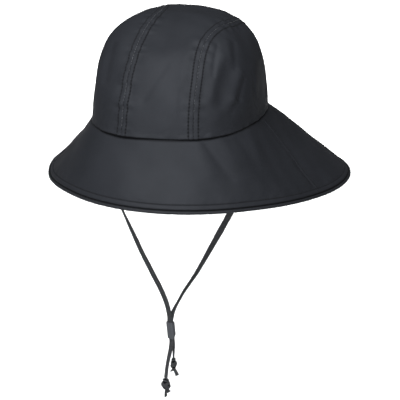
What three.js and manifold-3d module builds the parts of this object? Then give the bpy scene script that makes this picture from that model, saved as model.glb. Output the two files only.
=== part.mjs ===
import * as THREE from 'three';
import { mergeVertices } from 'three/addons/utils/BufferGeometryUtils.js';
import Module from 'manifold-3d';

const wasm = await Module();
wasm.setup();

// Sou'wester hat, in millimetres. +Z is up, the front faces -Y, the wearer's left is +X,
// and the origin is the middle of the head opening, on the seam of crown and brim.

// Cloth and seams
const CLOTH = 1.6;
const SEAM_GAP = 0.3;

// Crown: outer sizes at the seam with the brim, and the height above it
const HEAD_HALF_WIDTH = 82.5;
const HEAD_HALF_LENGTH = 99;
const CROWN_HEIGHT = 104;
const CROWN_LEAN = 1.5;
const OPENING_SQUARENESS = 2.42;
const PANEL_HALF_WIDTH = 37;

// Brim: how far it stands out and hangs down, and the binding along its edge
const BRIM_REACH = 60;
const BRIM_DROP = 70;
const PIPING_DIAMETER = 3.2;

// Folds
const FOLD_DEPTH = 5;

// Chin strap: flat tape, its sleeve and its knots; the sleeve holds one strand before the other
const TAPE_WIDTH = 6.3;
const TAPE_THICKNESS = 1.2;
const TAPE_GAP = 0.3;
const SLEEVE_WALL = 1;
const SLEEVE_LENGTH = 18.5;
const SLEEVE_TILT = 4.3;
const SLEEVE_TURN = -24;
const KNOT_LEFT_SIZE = [6.4, 8.4, 15];
const KNOT_RIGHT_SIZE = [9.6, 8.4, 15.4];
const TAIL_WIDTH = 4.2;
const TAIL_LENGTH = 7;

// Steps of the surfaces
const ARCH_STEPS = 36;
const ACROSS_STEPS = 6;
const SIDE_STEPS = 10;
const AROUND_STEPS = 40;
const ALONG_STEPS = 7;
const STRAP_STEPS = 48;

// Fullness of the crown at each rise from the seam (0) to the top (90 degrees), as shares of the
// ellipsoid that the crown's named sizes make.
const CROWN_ROWS = [
  { rise: 0, side: 1, front: 1, back: 1 },
  { rise: 15, side: 1.03, front: 0.98, back: 1 },
  { rise: 30, side: 1.09, front: 0.95, back: 1.02 },
  { rise: 45, side: 1.11, front: 0.94, back: 1.02 },
  { rise: 60, side: 1.07, front: 0.92, back: 1.02 },
  { rise: 75, side: 1, front: 0.94, back: 1.02 },
  { rise: 90, side: 0.98, front: 0.98, back: 0.98 },
];

// Centre panel along its arch from the front (0) over the top to the back (180 degrees):
// half its width, and how far its middle lies to the wearer's left, as shares of PANEL_HALF_WIDTH.
const PANEL_ROWS = [
  { arch: 0, half: 0.94, middle: 0.14 },
  { arch: 30, half: 0.91, middle: 0.14 },
  { arch: 60, half: 0.87, middle: 0.18 },
  { arch: 90, half: 0.98, middle: 0.43 },
  { arch: 120, half: 1.08, middle: 0.3 },
  { arch: 150, half: 1.16, middle: 0.11 },
  { arch: 180, half: 1.23, middle: 0 },
];

// Brim edge in eight directions, counted from the wearer's left (0) by way of the back (90 degrees):
// shares of BRIM_REACH and BRIM_DROP.
const BRIM_ROWS = [
  { around: 0, reach: 1.02, drop: 1.12 },
  { around: 45, reach: 1.64, drop: 1.19 },
  { around: 90, reach: 1.66, drop: 1.2 },
  { around: 135, reach: 1.61, drop: 1.11 },
  { around: 180, reach: 1.06, drop: 1.03 },
  { around: 225, reach: 0.56, drop: 0.88 },
  { around: 270, reach: 0.67, drop: 0.84 },
  { around: 315, reach: 0.62, drop: 0.93 },
];

// Crown folds between two places, each given by arch and tilt to the wearer's left in degrees.
// Width is in degrees; depth is a share of FOLD_DEPTH, and a hollow is negative.
const CROWN_FOLDS = [
  { arch: 55, tilt: 36, toArch: 36, toTilt: 39, width: 3.5, depth: -0.45 },
  { arch: 50, tilt: 31, toArch: 38, toTilt: 33, width: 4, depth: 0.25 },
  { arch: 70, tilt: 41, toArch: 58, toTilt: 48, width: 5, depth: 0.4 },
  { arch: 47, tilt: 42, toArch: 20, toTilt: 42, width: 5.5, depth: -0.8 },
  { arch: 60, tilt: 51, toArch: 27, toTilt: 54, width: 6, depth: 0.6 },
  { arch: 27, tilt: 54, toArch: 14, toTilt: 46, width: 5, depth: 0.5 },
  { arch: 49, tilt: 59, toArch: 30, toTilt: 61, width: 4.5, depth: -0.5 },
  { arch: 60, tilt: 64, toArch: 36, toTilt: 74, width: 6, depth: -0.4 },
  { arch: 50, tilt: -40, toArch: 34, toTilt: -41, width: 4.5, depth: -0.5 },
  { arch: 38, tilt: 0, toArch: 20, toTilt: -9, width: 8, depth: -0.5 },
  { arch: 60, tilt: 20, toArch: 36, toTilt: 18, width: 4, depth: 0.25 },
  { arch: 24, tilt: 19, toArch: 6, toTilt: 21, width: 4, depth: -0.3 },
];

// Brim folds between two places, each given by the direction in degrees and the share of the way
// from the seam (0) to the edge (1).
const BRIM_FOLDS = [
  { around: 311, along: 0.02, toAround: 314, toAlong: 0.7, width: 5, depth: -0.35 },
  { around: 319, along: 0.02, toAround: 317, toAlong: 0.4, width: 4, depth: 0.35 },
  { around: 331, along: 0.02, toAround: 329, toAlong: 0.32, width: 5, depth: 0.3 },
  { around: 303, along: 0.02, toAround: 302, toAlong: 0.45, width: 5, depth: 0.25 },
  { around: 360, along: 0.64, toAround: 369, toAlong: 0.86, width: 5, depth: -0.35 },
  { around: 367, along: 0.62, toAround: 375, toAlong: 0.88, width: 5, depth: 0.35 },
];
const BRIM_FOLD_DEGREES = 45;

// Route of each strand: down the inside of the crown, free to the sleeve, through it and on to the
// knot. SLEEVE_ROW is the row halfway through the sleeve.
const STRAP_LEFT_ROUTE = [
  [77.2, -30, 12], [77.2, -30, 4], [77, -30, -6], [76.3, -30, -18], [75, -30, -32],
  [72.8, -30, -48], [69.5, -30, -64], [64.8, -30, -79], [58, -30, -93.5], [50.2, -30, -108.5],
  [41.6, -30, -124.7], [32.6, -30, -141.5], [23.6, -30, -158], [15.6, -30, -171],
  [8.3, -29.9, -182.5], [1.9, -29.7, -194.5], [-3, -29.5, -204.5], [-5.7, -29.35, -212],
  [-6.7, -29.3, -217.5], [-6, -29.3, -226.75], [-5.3, -29.3, -236], [-4.7, -29.3, -241],
  [-4.3, -29.3, -248], [-4.6, -29.3, -258.6],
];
const STRAP_RIGHT_ROUTE = [
  [-77.2, -30, 12], [-77.2, -30, 4], [-77, -30, -6], [-76.2, -30, -20], [-74.4, -30, -36],
  [-71.4, -30, -53], [-67.2, -30, -70], [-61.2, -30, -86.5], [-54.6, -30, -100.5],
  [-46.9, -30, -117.8], [-41.5, -30, -130], [-36.1, -30, -142.5], [-29.7, -30, -155.3],
  [-23.5, -30.1, -167.8], [-18.2, -30.2, -178], [-13.7, -30.3, -187.9], [-10.2, -30.4, -197.5],
  [-8.1, -30.6, -207], [-7.4, -30.65, -212.5], [-7.3, -30.7, -217.5], [-6.6, -30.7, -226.75],
  [-5.9, -30.7, -236], [-6, -30.7, -241], [-7.2, -30.7, -248.5], [-8.9, -30.7, -256],
  [-10.4, -30.7, -263], [-11.6, -30.7, -270], [-13.2, -30.7, -282.6],
];
const SLEEVE_ROW = { left: 19, right: 20 };

// Turn of each strand's wide side at even steps of its length, from the front-to-back line at its
// top towards the wearer's left.
const STRAP_TWISTS = [
  { left: 0, right: 0 },
  { left: 6, right: -1 },
  { left: 12, right: -3 },
  { left: 20, right: -4 },
  { left: 28, right: -6 },
  { left: 37, right: -8 },
  { left: 46, right: -10 },
  { left: 54, right: -13 },
  { left: 61, right: -16 },
  { left: 67, right: -20 },
  { left: 73, right: -25 },
  { left: 80, right: -32 },
  { left: 88, right: -40 },
  { left: 95, right: -46 },
  { left: 101, right: -55 },
  { left: 107, right: -62 },
  { left: 115, right: -65 },
  { left: 121, right: -67 },
  { left: 129, right: -71 },
  { left: 135, right: -73 },
  { left: 140, right: -75 },
  { left: 147, right: -75 },
  { left: 150, right: -74 },
  { left: 151, right: -72 },
  { left: 153, right: -69 },
  { left: 152, right: -66 },
  { left: 138, right: -66 },
  { left: 118, right: -66 },
  { left: 114, right: -62 },
  { left: 114, right: -54 },
  { left: 120, right: -49 },
  { left: 140, right: -47 },
  { left: 150, right: -47 },
];

const DEGREE = Math.PI / 180;

// Smooth value through evenly spaced rows, at a place counted in rows.
function smooth(rows, key, place, loop = false) {
  const last = rows.length - 1;
  const step = Math.floor(loop ? place : Math.min(Math.max(place, 0), last - 1e-9));
  const part = place - step;
  const value = (i) => {
    if (loop) return rows[(i + rows.length * 4) % rows.length][key];
    if (i < 0) return 2 * rows[0][key] - rows[1][key];
    if (i > last) return 2 * rows[last][key] - rows[last - 1][key];
    return rows[i][key];
  };
  const [a, b, c, d] = [value(step - 1), value(step), value(step + 1), value(step + 2)];
  const square = (2 * a - 5 * b + 4 * c - d) * part ** 2;
  const cube = (3 * b - a - 3 * c + d) * part ** 3;
  return 0.5 * (2 * b + (c - a) * part + square + cube);
}

// Sum of the folds at a place: each is a soft bump along the line between its two ends.
function foldHeight(folds, u, v, names, scale) {
  let height = 0;
  for (const fold of folds) {
    const [u0, v0, u1, v1] = names.map((name) => fold[name]);
    const du = u1 - u0;
    const dv = (v1 - v0) * scale;
    const t = ((u - u0) * du + (v - v0) * scale * dv) / (du * du + dv * dv);
    const near = Math.min(Math.max(t, 0), 1);
    const far = Math.hypot(u - u0 - du * near, (v - v0) * scale - dv * near) / fold.width;
    height += fold.depth * FOLD_DEPTH * Math.exp(-far * far);
  }
  return height;
}

// Direction of a place on the crown: arch runs from the front over the top to the back, tilt leans
// to the wearer's left.
function crownDirection(arch, tilt) {
  const flat = Math.cos(tilt);
  return new THREE.Vector3(Math.sin(tilt), -Math.cos(arch) * flat, Math.sin(arch) * flat);
}

function fullness(direction) {
  const flat = Math.hypot(direction.x, direction.y) + 1e-12;
  const place = Math.atan2(Math.max(direction.z, 0), flat) / (15 * DEGREE);
  const across = (Math.abs(direction.x) + 1e-12) / flat;
  const along = Math.abs(direction.y) / flat;
  const side = smooth(CROWN_ROWS, 'side', place);
  const length = smooth(CROWN_ROWS, direction.y < 0 ? 'front' : 'back', place);
  const power = OPENING_SQUARENESS + (2 - OPENING_SQUARENESS) * place / (CROWN_ROWS.length - 1);
  return ((across / side) ** power + (along / length) ** power) ** (-1 / power);
}

function crownSurface(direction) {
  const point = direction.clone().multiplyScalar(fullness(direction));
  const arch = Math.atan2(direction.z, -direction.y) / DEGREE;
  const tilt = Math.asin(Math.min(Math.max(direction.x, -1), 1)) / DEGREE;
  const names = ['arch', 'tilt', 'toArch', 'toTilt'];
  const fold = foldHeight(CROWN_FOLDS, arch, tilt, names, 1);
  const out = new THREE.Vector3(HEAD_HALF_WIDTH, HEAD_HALF_LENGTH, CROWN_HEIGHT);
  point.multiply(out).addScaledVector(direction, fold * Math.min(1, 4 * direction.z));
  point.x += CROWN_LEAN * point.z / CROWN_HEIGHT;
  return point;
}

// Point of the crown cloth at a direction, set in from its outer face.
function crownPoint(direction, inset) {
  const point = crownSurface(direction);
  const spread = 0.002;
  const first = new THREE.Vector3(-direction.y, direction.x, 0);
  if (first.length() < 1e-6) first.set(1, 0, 0);
  first.normalize();
  const second = direction.clone().cross(first).normalize();
  const sample = (axis, sign) => {
    const near = direction.clone().addScaledVector(axis, sign * spread).normalize();
    near.z = Math.max(near.z, 0);
    return crownSurface(near.normalize());
  };
  const along = sample(first, 1).sub(sample(first, -1));
  const up = sample(second, 1).sub(sample(second, -1));
  const normal = along.cross(up).normalize();
  if (normal.dot(direction) < 0) normal.negate();
  if (direction.z < 1e-6) normal.setZ(0).normalize();
  point.addScaledVector(normal, -inset);
  point.z += SEAM_GAP / 2;
  return point;
}

// Tilt of the plane-cut line at a given distance to the wearer's left, at one arch.
function tiltAt(arch, x) {
  let tilt = Math.asin(x / HEAD_HALF_WIDTH);
  for (let i = 0; i < 12; i += 1) {
    const full = fullness(crownDirection(arch, tilt));
    tilt = Math.asin(Math.min(Math.max(x / (HEAD_HALF_WIDTH * full), -1), 1));
  }
  return tilt;
}

function panelEdge(arch, side) {
  const place = arch / (30 * DEGREE);
  const half = smooth(PANEL_ROWS, 'half', place) * PANEL_HALF_WIDTH;
  const middle = smooth(PANEL_ROWS, 'middle', place) * PANEL_HALF_WIDTH;
  return middle + side * half;
}

// Closed geometry from triangles of points, with its faces pointing out.
function closedGeometry(triangles) {
  const kept = triangles.filter(([a, b, c]) => (
    a.distanceTo(b) > 1e-5 && b.distanceTo(c) > 1e-5 && c.distanceTo(a) > 1e-5
  ));
  let volume = 0;
  for (const [a, b, c] of kept) volume += a.dot(b.clone().cross(c));
  const ordered = volume > 0 ? kept : kept.map(([a, b, c]) => [a, c, b]);
  const numbers = ordered.flatMap((corners) => corners.flatMap((p) => [p.x, p.y, p.z]));
  const geometry = new THREE.BufferGeometry();
  geometry.setAttribute('position', new THREE.Float32BufferAttribute(numbers, 3));
  const merged = mergeVertices(geometry, 1e-4);
  merged.computeVertexNormals();
  return merged;
}

// Triangles of a grid of points, its rows and columns closed into loops where asked.
function gridFaces(grid, loopRows = false, loopColumns = false) {
  const faces = [];
  const rows = grid.length;
  const columns = grid[0].length;
  for (let i = 0; i < rows - (loopRows ? 0 : 1); i += 1) {
    for (let j = 0; j < columns - (loopColumns ? 0 : 1); j += 1) {
      const a = grid[i][j];
      const b = grid[(i + 1) % rows][j];
      const c = grid[(i + 1) % rows][(j + 1) % columns];
      const d = grid[i][(j + 1) % columns];
      faces.push([a, b, c], [a, c, d]);
    }
  }
  return faces;
}

// Cloth panel between an outer and an inner grid of points.
function clothPanel(outer, inner) {
  const last = outer.length - 1;
  const end = outer[0].length - 1;
  const faces = [
    ...gridFaces(outer),
    ...gridFaces(inner).map(([a, b, c]) => [a, c, b]),
    ...gridFaces([inner[0], outer[0]]),
    ...gridFaces([outer[last], inner[last]]),
    ...gridFaces([outer.map((row) => row[0]), inner.map((row) => row[0])]),
    ...gridFaces([inner.map((row) => row[end]), outer.map((row) => row[end])]),
  ];
  return closedGeometry(faces);
}

function grid(rows, columns, point) {
  return Array.from({ length: rows + 1 }, (_, i) => (
    Array.from({ length: columns + 1 }, (__, j) => point(i / rows, j / columns))
  ));
}

function crownPanel(columns, tiltFor) {
  const build = (inset) => grid(ARCH_STEPS, columns, (u, v) => (
    crownPoint(crownDirection(u * Math.PI, tiltFor(u * Math.PI, v)), inset)
  ));
  return clothPanel(build(0), build(CLOTH));
}

// Point of the seam ring and its outward direction.
function seamPoint(around) {
  const at = (angle) => {
    const direction = new THREE.Vector3(Math.cos(angle), Math.sin(angle), 0);
    const full = fullness(direction);
    return new THREE.Vector3(
      direction.x * full * HEAD_HALF_WIDTH,
      direction.y * full * HEAD_HALF_LENGTH,
      0,
    );
  };
  const tangent = at(around + 0.001).sub(at(around - 0.001)).normalize();
  return { point: at(around), out: new THREE.Vector3(tangent.y, -tangent.x, 0) };
}

// Brim at a direction: where it starts, its way down to the edge, its outward face and its length.
function brimLine(around) {
  const { point, out } = seamPoint(around);
  const place = around / (45 * DEGREE);
  const reach = smooth(BRIM_ROWS, 'reach', place, true) * BRIM_REACH;
  const drop = smooth(BRIM_ROWS, 'drop', place, true) * BRIM_DROP;
  const way = out.clone().multiplyScalar(reach).setZ(-drop);
  const length = way.length();
  way.normalize();
  const face = out.clone().multiplyScalar(-way.z).setZ(way.dot(out));
  point.z = -SEAM_GAP / 2;
  return { point, way, face, length };
}

function brimPoint(around, share, inset) {
  const { point, way, face, length } = brimLine(around);
  const cut = length - PIPING_DIAMETER - SEAM_GAP;
  const degrees = around / DEGREE;
  const names = ['around', 'along', 'toAround', 'toAlong'];
  const ease = Math.min(1, 12 * share, 12 * (1 - share));
  const folds = foldHeight(BRIM_FOLDS, degrees, share, names, BRIM_FOLD_DEGREES)
    + foldHeight(BRIM_FOLDS, degrees + 360, share, names, BRIM_FOLD_DEGREES);
  return point.addScaledVector(way, share * cut).addScaledVector(face, folds * ease - inset);
}

function brimPanel(from, to) {
  const build = (inset) => grid(AROUND_STEPS, ALONG_STEPS, (u, v) => {
    const start = from + SEAM_GAP / 2 / HEAD_HALF_LENGTH;
    const end = to - SEAM_GAP / 2 / HEAD_HALF_LENGTH;
    return brimPoint(start + (end - start) * u, v, inset);
  });
  return clothPanel(build(0), build(CLOTH));
}

function pipingRing() {
  const steps = AROUND_STEPS * 2;
  const sides = 8;
  const ring = Array.from({ length: steps }, (_, i) => {
    const { point, way, face, length } = brimLine((i / steps) * Math.PI * 2);
    point.addScaledVector(way, length - PIPING_DIAMETER / 2).addScaledVector(face, -CLOTH / 2);
    return Array.from({ length: sides }, (__, j) => {
      const angle = ((j + 0.5) / sides) * Math.PI * 2;
      return point.clone()
        .addScaledVector(way, Math.cos(angle) * PIPING_DIAMETER / 2)
        .addScaledVector(face, Math.sin(angle) * PIPING_DIAMETER / 2);
    });
  });
  return closedGeometry(gridFaces(ring, true, true));
}

// Section of the flat tape with its corners cut.
function tapeSection(width, thickness) {
  const corner = thickness * 0.3;
  const w = width / 2;
  const t = thickness / 2;
  return new THREE.Shape([
    new THREE.Vector2(w, t - corner),
    new THREE.Vector2(w - corner, t),
    new THREE.Vector2(corner - w, t),
    new THREE.Vector2(-w, t - corner),
    new THREE.Vector2(-w, corner - t),
    new THREE.Vector2(corner - w, -t),
    new THREE.Vector2(w - corner, -t),
    new THREE.Vector2(w, corner - t),
  ]);
}

function tape(route, side) {
  const curve = new THREE.CatmullRomCurve3(route.map((place) => new THREE.Vector3(...place)));
  const section = tapeSection(TAPE_WIDTH, TAPE_THICKNESS).getPoints();
  const rings = Array.from({ length: STRAP_STEPS + 1 }, (_, i) => {
    const share = i / STRAP_STEPS;
    const run = curve.getTangentAt(share);
    const leftward = run.clone().cross(new THREE.Vector3(0, 1, 0)).normalize();
    const backward = leftward.clone().cross(run);
    const twist = smooth(STRAP_TWISTS, side, share * (STRAP_TWISTS.length - 1)) * DEGREE;
    const wide = backward.multiplyScalar(Math.cos(twist))
      .addScaledVector(leftward, Math.sin(twist));
    const thick = run.clone().cross(wide);
    return section.map(({ x, y }) => (
      curve.getPointAt(share).addScaledVector(wide, x).addScaledVector(thick, y)
    ));
  });
  const [first, last] = [rings[0], rings[STRAP_STEPS]];
  const caps = first.slice(2).flatMap((_, j) => [
    [first[0], first[j + 1], first[j + 2]],
    [last[0], last[j + 2], last[j + 1]],
  ]);
  return closedGeometry([...gridFaces(rings, false, true), ...caps]);
}

// Sleeve of leather, its wide side across the tape, with room for both strands.
function sleeve() {
  const innerX = TAPE_WIDTH + 2 * TAPE_GAP;
  const innerY = 2 * TAPE_THICKNESS + 3 * TAPE_GAP;
  const box = (x, y) => [
    new THREE.Vector2(-x / 2, -y / 2),
    new THREE.Vector2(x / 2, -y / 2),
    new THREE.Vector2(x / 2, y / 2),
    new THREE.Vector2(-x / 2, y / 2),
  ];
  const shape = new THREE.Shape(box(innerX + 2 * SLEEVE_WALL, innerY + 2 * SLEEVE_WALL));
  shape.holes.push(new THREE.Path(box(innerX, innerY)));
  const geometry = new THREE.ExtrudeGeometry(shape, { depth: SLEEVE_LENGTH, bevelEnabled: false });
  geometry.translate(0, 0, -SLEEVE_LENGTH / 2);
  return geometry;
}

function toManifold(geometry) {
  const bare = geometry.clone();
  bare.deleteAttribute('normal');
  bare.deleteAttribute('uv');
  const merged = mergeVertices(bare, 1e-4);
  const mesh = new wasm.Mesh({
    numProp: 3,
    vertProperties: new Float32Array(merged.attributes.position.array),
    triVerts: new Uint32Array(merged.index.array),
  });
  return new wasm.Manifold(mesh);
}

// Knot: a full oval with two cut tails of the tape below it.
function knot(size, tails) {
  const body = new THREE.SphereGeometry(0.5, 14, 10);
  body.rotateX(Math.PI / 2);
  body.scale(...size);
  let solid = toManifold(body);
  for (const { lean, turn } of tails) {
    const tail = new THREE.ExtrudeGeometry(tapeSection(TAIL_WIDTH, TAPE_THICKNESS), {
      depth: TAIL_LENGTH + size[2] / 4,
      bevelEnabled: false,
    });
    tail.translate(0, 0, -TAIL_LENGTH - size[2] / 4);
    tail.rotateZ(turn * DEGREE);
    tail.rotateY(lean * DEGREE);
    tail.translate(0, 0, -size[2] / 4);
    solid = solid.add(toManifold(tail));
  }
  const mesh = solid.getMesh();
  const geometry = new THREE.BufferGeometry();
  geometry.setAttribute('position', new THREE.BufferAttribute(mesh.vertProperties, 3));
  geometry.setIndex(new THREE.BufferAttribute(mesh.triVerts, 1));
  geometry.computeVertexNormals();
  return geometry;
}

const coated = new THREE.MeshStandardMaterial({ color: 0x2b2c30, roughness: 0.5, metalness: 0 });
const woven = new THREE.MeshStandardMaterial({ color: 0x37373a, roughness: 0.9, metalness: 0 });
const hide = new THREE.MeshStandardMaterial({ color: 0x45474c, roughness: 0.6, metalness: 0 });

const hat = new THREE.Group();

function addPart(name, geometry, material) {
  const mesh = new THREE.Mesh(geometry, material);
  mesh.name = name;
  hat.add(mesh);
  return mesh;
}

const gap = SEAM_GAP / 2;
addPart('crown_center_panel', crownPanel(ACROSS_STEPS, (arch, v) => {
  const low = panelEdge(arch, -1) + gap;
  const high = panelEdge(arch, 1) - gap;
  return tiltAt(arch, low + (high - low) * v);
}), coated);
addPart('crown_side_left', crownPanel(SIDE_STEPS, (arch, v) => {
  const start = tiltAt(arch, panelEdge(arch, 1) + gap);
  return start + (Math.PI / 2 - start) * v;
}), coated);
addPart('crown_side_right', crownPanel(SIDE_STEPS, (arch, v) => {
  const start = tiltAt(arch, panelEdge(arch, -1) - gap);
  return start + (-Math.PI / 2 - start) * v;
}), coated);
addPart('brim_front', brimPanel(Math.PI, 2 * Math.PI), coated);
addPart('brim_back', brimPanel(0, Math.PI), coated);
addPart('brim_piping', pipingRing(), coated);

addPart('strap_left', tape(STRAP_LEFT_ROUTE, 'left'), woven);
addPart('strap_right', tape(STRAP_RIGHT_ROUTE, 'right'), woven);
const slider = addPart('strap_slider', sleeve(), hide);
const inSleeve = STRAP_LEFT_ROUTE[SLEEVE_ROW.left];
slider.position.set(...inSleeve).lerp(
  new THREE.Vector3(...STRAP_RIGHT_ROUTE[SLEEVE_ROW.right]),
  0.5,
);
slider.rotation.set(0, -SLEEVE_TILT * DEGREE, SLEEVE_TURN * DEGREE);

// Each knot hangs right below the last point of its strand.
function hangKnot(name, route, size, tails) {
  const [x, y, z] = route[route.length - 1];
  const mesh = addPart(name, knot(size, tails), woven);
  mesh.position.set(x, y, z - SEAM_GAP - size[2] / 2);
}
hangKnot('knot_left', STRAP_LEFT_ROUTE, KNOT_LEFT_SIZE, [
  { lean: -22, turn: 90 },
  { lean: 18, turn: 60 },
]);
hangKnot('knot_right', STRAP_RIGHT_ROUTE, KNOT_RIGHT_SIZE, [
  { lean: 14, turn: 20 },
  { lean: -24, turn: 70 },
]);

export default hat;
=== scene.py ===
import math

import bmesh
import bpy
import numpy as np
from mathutils import Matrix


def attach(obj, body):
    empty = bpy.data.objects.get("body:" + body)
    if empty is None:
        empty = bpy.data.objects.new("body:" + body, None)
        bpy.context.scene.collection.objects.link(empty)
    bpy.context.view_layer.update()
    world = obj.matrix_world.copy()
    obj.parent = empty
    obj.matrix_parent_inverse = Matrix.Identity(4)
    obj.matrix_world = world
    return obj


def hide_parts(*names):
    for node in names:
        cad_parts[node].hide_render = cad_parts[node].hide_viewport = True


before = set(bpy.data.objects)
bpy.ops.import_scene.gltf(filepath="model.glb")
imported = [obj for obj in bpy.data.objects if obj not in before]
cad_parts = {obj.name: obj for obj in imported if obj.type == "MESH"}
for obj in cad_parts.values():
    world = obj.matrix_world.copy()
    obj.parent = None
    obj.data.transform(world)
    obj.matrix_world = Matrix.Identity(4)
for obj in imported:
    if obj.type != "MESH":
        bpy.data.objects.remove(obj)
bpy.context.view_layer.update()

# Sizes in metres, the same as the solids have but for finer and softer folds. A squareness is the
# power of a curve, and tilts and turns are angles
CLOTH = 0.0016
SEAM_GAP = 0.0003
HEAD_HALF_WIDTH = 0.0825
HEAD_HALF_LENGTH = 0.099
CROWN_HEIGHT = 0.104
CROWN_LEAN = 0.0015
OPENING_SQUARENESS = 2.42
PANEL_HALF_WIDTH = 0.037
BRIM_REACH = 0.060
BRIM_DROP = 0.070
PIPING_DIAMETER = 0.0032
FOLD_DEPTH = 0.0026
TAPE_WIDTH = 0.0063
TAPE_THICKNESS = 0.0012
TAPE_GAP = 0.0003
TAPE_SQUARENESS = 0.4
SLEEVE_WALL = 0.001
SLEEVE_LENGTH = 0.0185
SLEEVE_SQUARENESS = 0.35
SLEEVE_TILT = math.radians(4.3)
SLEEVE_TURN = math.radians(-24)
SLEEVE_FOOT_CUT = 0.0042
KNOT_LEFT_SIZE = (0.0064, 0.0084, 0.015)
KNOT_RIGHT_SIZE = (0.0096, 0.0084, 0.0154)
KNOT_LEFT_TURN = math.radians(160)
KNOT_RIGHT_TURN = math.radians(20)
TAIL_WIDTH = 0.0042
TAIL_BEND = 0.0008

# Tails of each knot: lean from straight down and turn of the wide side in degrees, length
KNOT_LEFT_TAILS = ((27, 30, 0.0095), (-38, 60, 0.0052))
KNOT_RIGHT_TAILS = ((-8, 75, 0.0095), (44, 20, 0.0056))

# Sizes of the sewing in metres: away from a join or edge, of a stitch, half widths of the painted
# shade along grooves
SEAM_STITCH_AWAY = 0.0047
SIDE_STITCH_AWAY = 0.0035
HEM_STITCH_AWAY = 0.0055
STITCH_PITCH = 0.0033
STITCH_LENGTH = 0.0027
THREAD = 0.0004
THREAD_LIFT = 0.3 * THREAD
JOIN_THREAD_LIFT = 0.0002
JOIN_GROOVE = 0.0005
STITCH_GROOVE = 0.0007
HEM_GROOVE = 0.0006
SEAM_SLIT = 0.00004
BINDING_REACH_IN = 0.0014

# Shares: how much a groove's painted shade fades between stitches, and the outer face's height on
# the inner face
STITCH_FADE = 0.38
BACK_SHARE = 0.4

# Arch in radians at which the crown's top stitching starts and stops
STITCH_START_ARCH = 0.035

# Soft unevenness: seed, length, depth
CROWN_WAVES = ((5, 0.06, 0.0007), (6, 0.022, 0.00022))
BRIM_WAVES = ((11, 0.075, 0.0008), (12, 0.025, 0.00022))

# Puckers along the sewing: seed, length, depth, distance of their middle, half width
CROWN_SEAM_PUCKERS = (20, 0.009, 0.00055, 0.005, 0.005)
CROWN_HEM_PUCKERS = (9, 0.008, 0.0002, 0, 0.007)
BRIM_SEAM_PUCKERS = (30, 0.007, 0.00014, 0.004, 0.005)
BRIM_HEM_PUCKERS = (14, 0.009, 0.00018, 0.007, 0.005)

# Turn between two faces that shows as an edge
SHARP_TURN = math.radians(55)

# Numbers of steps in the grids of points, and the step along the tape
CROWN_STEPS = 300
CENTRE_PANEL_STEPS = 110
SIDE_PANEL_STEPS = 104
BRIM_AROUND_STEPS = 360
BRIM_DOWN_STEPS = 100
BINDING_STEPS = 900
BINDING_SIDES = 24
SLEEVE_STEPS = 96
SLEEVE_RISE_STEPS = 14
KNOT_STEPS = 70
KNOT_SIDES = 72
TAIL_STEPS = 24
TAIL_SIDES = 16
TAPE_STEP = 0.0008

# Floor and light
FLOOR_HEIGHT = -0.75
FLOOR_HALF = 9
COOL = (0.9, 0.94, 1)
WHITE = (1, 1, 1)

# Crown fullness at even steps of rise from the seam: side, front, back
CROWN_ROW_STEP = math.radians(15)
CROWN_ROWS = np.array([
    (1, 1, 1), (1.03, 0.98, 1), (1.09, 0.95, 1.02), (1.11, 0.94, 1.02), (1.07, 0.92, 1.02),
    (1, 0.94, 1.02), (0.98, 0.98, 0.98),
])

# Centre panel at even steps of arch from the front, in its widths: half width, middle
PANEL_ROW_STEP = math.radians(30)
PANEL_ROWS = np.array([
    (0.94, 0.14), (0.91, 0.14), (0.87, 0.18), (0.98, 0.43), (1.08, 0.3), (1.16, 0.11), (1.23, 0),
])

# Brim edge at even steps from the wearer's left by way of the back: reach, drop
BRIM_ROW_STEP = math.radians(45)
BRIM_ROWS = np.array([
    (1.02, 1.12), (1.64, 1.19), (1.66, 1.2), (1.61, 1.11), (1.06, 1.03), (0.56, 0.88),
    (0.67, 0.84), (0.62, 0.93),
])

# Crown folds between two places: arch, tilt, to arch, to tilt, width in degrees, depth
CROWN_FOLDS = (
    (60, 34.5, 39, 36.5, 1.3, -0.22),
    (56, 31.5, 44, 33, 2.2, 0.2),
    (54, 39, 27, 38, 3.5, 0.45),
    (66, 39, 57, 43, 2.5, 0.25),
    (69, 43, 52, 49, 2, -0.25),
    (46, 46, 22, 45, 5, -0.65),
    (52, 53, 27, 53, 3, 0.35),
    (27, 52, 12, 42, 4, 0.4),
    (50, 57, 30, 57, 1.6, -0.35),
    (30, 57, 16, 52, 2, -0.25),
    (63, 63.5, 54, 68.5, 2, -0.3),
    (54, 68.5, 40, 76, 3, -0.3),
    (58, -38, 34, -40, 4, -0.6),
    (40, 5, 21, -7, 3, -0.35),
    (60, 20, 36, 18, 4, 0.35),
    (26, 19, 6, 20.5, 3, -0.4),
)

# Brim folds between two places: around, along, to around, to along, width in degrees, depth
BRIM_FOLDS = (
    (304, 0.04, 314, 0.6, 2, -0.2),
    (315, 0.02, 321, 0.6, 4.5, 0.35),
    (325, 0.02, 329, 0.5, 3, -0.25),
    (335, 0.02, 334, 0.35, 4, 0.3),
    (300, 0.02, 304, 0.5, 4, 0.25),
    (360, 0.64, 369, 0.86, 5, -0.35),
    (367, 0.62, 375, 0.88, 5, 0.35),
)
BRIM_FOLD_DEGREES = 45

# Relief across a felled crown seam, in millimetres: away from the join, height
SEAM_RELIEF = (
    (0, 0), (0.3, 0.05), (0.7, 0.28), (1.6, 0.35), (3.6, 0.32), (4.3, 0.18), (4.7, -0.3),
    (5.2, -0.04), (7.5, -0.2), (11, -0.12), (16, 0),
)
# Relief across a side seam of the brim
SIDE_RELIEF = (
    (0, -0.35), (0.35, -0.15), (0.8, 0.15), (1.5, 0.25), (2.7, 0.2), (3.5, -0.12), (4.1, 0),
    (6, 0.04), (9, 0),
)
# Relief up the crown from its hem
CROWN_HEM_RELIEF = ((0, 0.4), (0.5, 0.85), (1.2, 1), (2.6, 0.75), (5, 0.3), (9, 0))
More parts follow.
